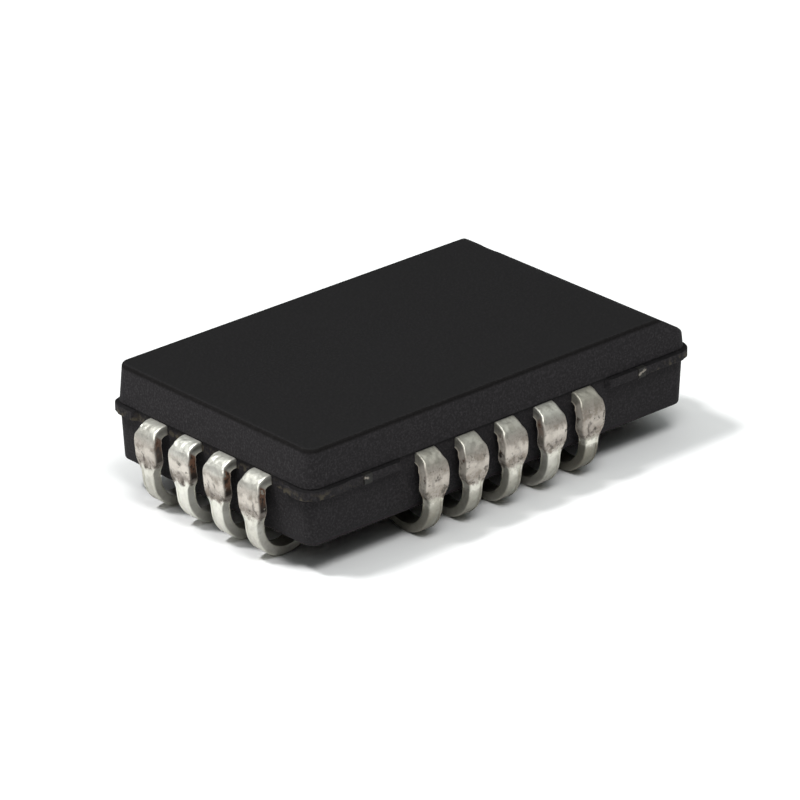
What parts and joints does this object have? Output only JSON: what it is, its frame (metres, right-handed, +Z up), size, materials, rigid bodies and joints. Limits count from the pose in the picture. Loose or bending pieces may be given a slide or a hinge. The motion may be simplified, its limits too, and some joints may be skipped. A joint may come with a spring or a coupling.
{
  "type": "plastic leaded chip carrier",
  "caption": "Black moulded rectangular chip package on J-shaped leads that curl under all its sides, with a bevelled top edge at the pin 1 end.",
  "frame": {"origin": "on the seating plane, under the middle of the package", "axes": "+X along the package towards the bevelled pin 1 end, +Y across it, +Z up from the board"},
  "size_m": [0.0132, 0.0082, 0.0033],
  "materials": {
    "epoxy_moulding": "fine moulded epoxy texture",
    "lead_plating": "dull tin-lead solder plating over copper alloy, scuffed by forming",
    "leadframe_copper": "bare rolled copper alloy",
    "die_adhesive": "silver-filled epoxy",
    "silicon": "polished silicon",
    "bond_gold": "drawn gold"
  },
  "bodies": {
    "root": {"moulded_body": "epoxy_moulding", "lead_01": "lead_plating", "lead_02": "lead_plating", "lead_03": "lead_plating", "lead_04": "lead_plating", "lead_05": "lead_plating", "lead_06": "lead_plating", "lead_07": "lead_plating", "lead_08": "lead_plating", "lead_09": "lead_plating", "lead_10": "lead_plating", "lead_11": "lead_plating", "lead_12": "lead_plating", "lead_13": "lead_plating", "lead_14": "lead_plating", "lead_15": "lead_plating", "lead_16": "lead_plating", "lead_17": "lead_plating", "lead_18": "lead_plating", "die_pad": "leadframe_copper", "die_attach": "die_adhesive", "silicon_die": "silicon", "bond_wire_01": "bond_gold", "bond_wire_02": "bond_gold", "bond_wire_03": "bond_gold", "bond_wire_04": "bond_gold", "bond_wire_05": "bond_gold", "bond_wire_06": "bond_gold", "bond_wire_07": "bond_gold", "bond_wire_08": "bond_gold", "bond_wire_09": "bond_gold", "bond_wire_10": "bond_gold", "bond_wire_11": "bond_gold", "bond_wire_12": "bond_gold", "bond_wire_13": "bond_gold", "bond_wire_14": "bond_gold", "bond_wire_15": "bond_gold", "bond_wire_16": "bond_gold", "bond_wire_17": "bond_gold", "bond_wire_18": "bond_gold"}
  },
  "joints": []
}
